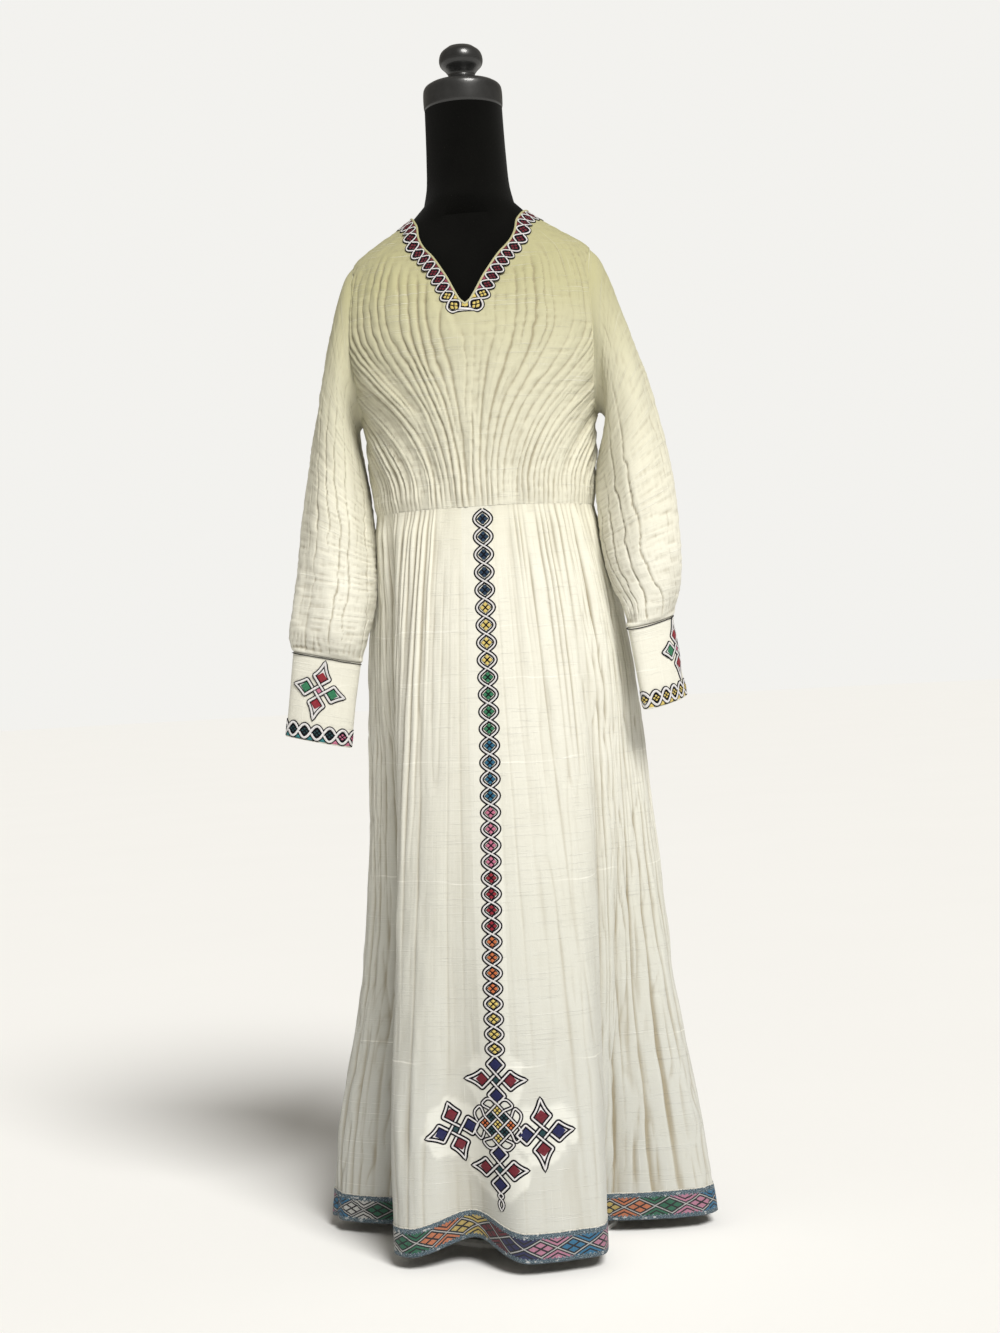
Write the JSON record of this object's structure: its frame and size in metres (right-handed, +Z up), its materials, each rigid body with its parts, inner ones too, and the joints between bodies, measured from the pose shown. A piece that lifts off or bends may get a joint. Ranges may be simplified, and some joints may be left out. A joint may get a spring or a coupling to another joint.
{
  "type": "habesha kemis dress on a limbless dress form",
  "caption": "Long gathered cotton dress with a V neck, cuffed sleeves and woven hem band, worn on a dress form with a neck, finial, pole and round foot.",
  "frame": {"origin": "middle of the underside of the stand's round foot, on the floor", "axes": "+Z up the pole and body, -Y out of the front of the dress, +X to the wearer's left"},
  "size_m": [0.5693, 0.536, 1.6725],
  "materials": {
    "cotton": "hand-woven cream cotton, matt, slightly slubby",
    "woven_band": "dense woven border in blue grey with coloured diamonds",
    "embroidery": "satin-stitched rayon thread with silver-white ribbon lines",
    "jersey": "black stretch jersey, matt",
    "lacquer": "black lacquer, satin",
    "steel": "pale grey paint"
  },
  "bodies": {
    "root": {"bodice_front": "cotton", "bodice_back": "cotton", "skirt_front": "cotton", "skirt_left_side": "cotton", "skirt_back": "cotton", "skirt_right_side": "cotton", "sleeve_right": "cotton", "sleeve_left": "cotton", "cuff_right": "cotton", "cuff_left": "cotton", "hem_band": "woven_band", "neck_trim": "embroidery", "form_torso": "jersey", "form_neck_cap": "lacquer", "form_finial": "lacquer", "stand_pole": "steel", "stand_base": "steel"}
  },
  "joints": []
}
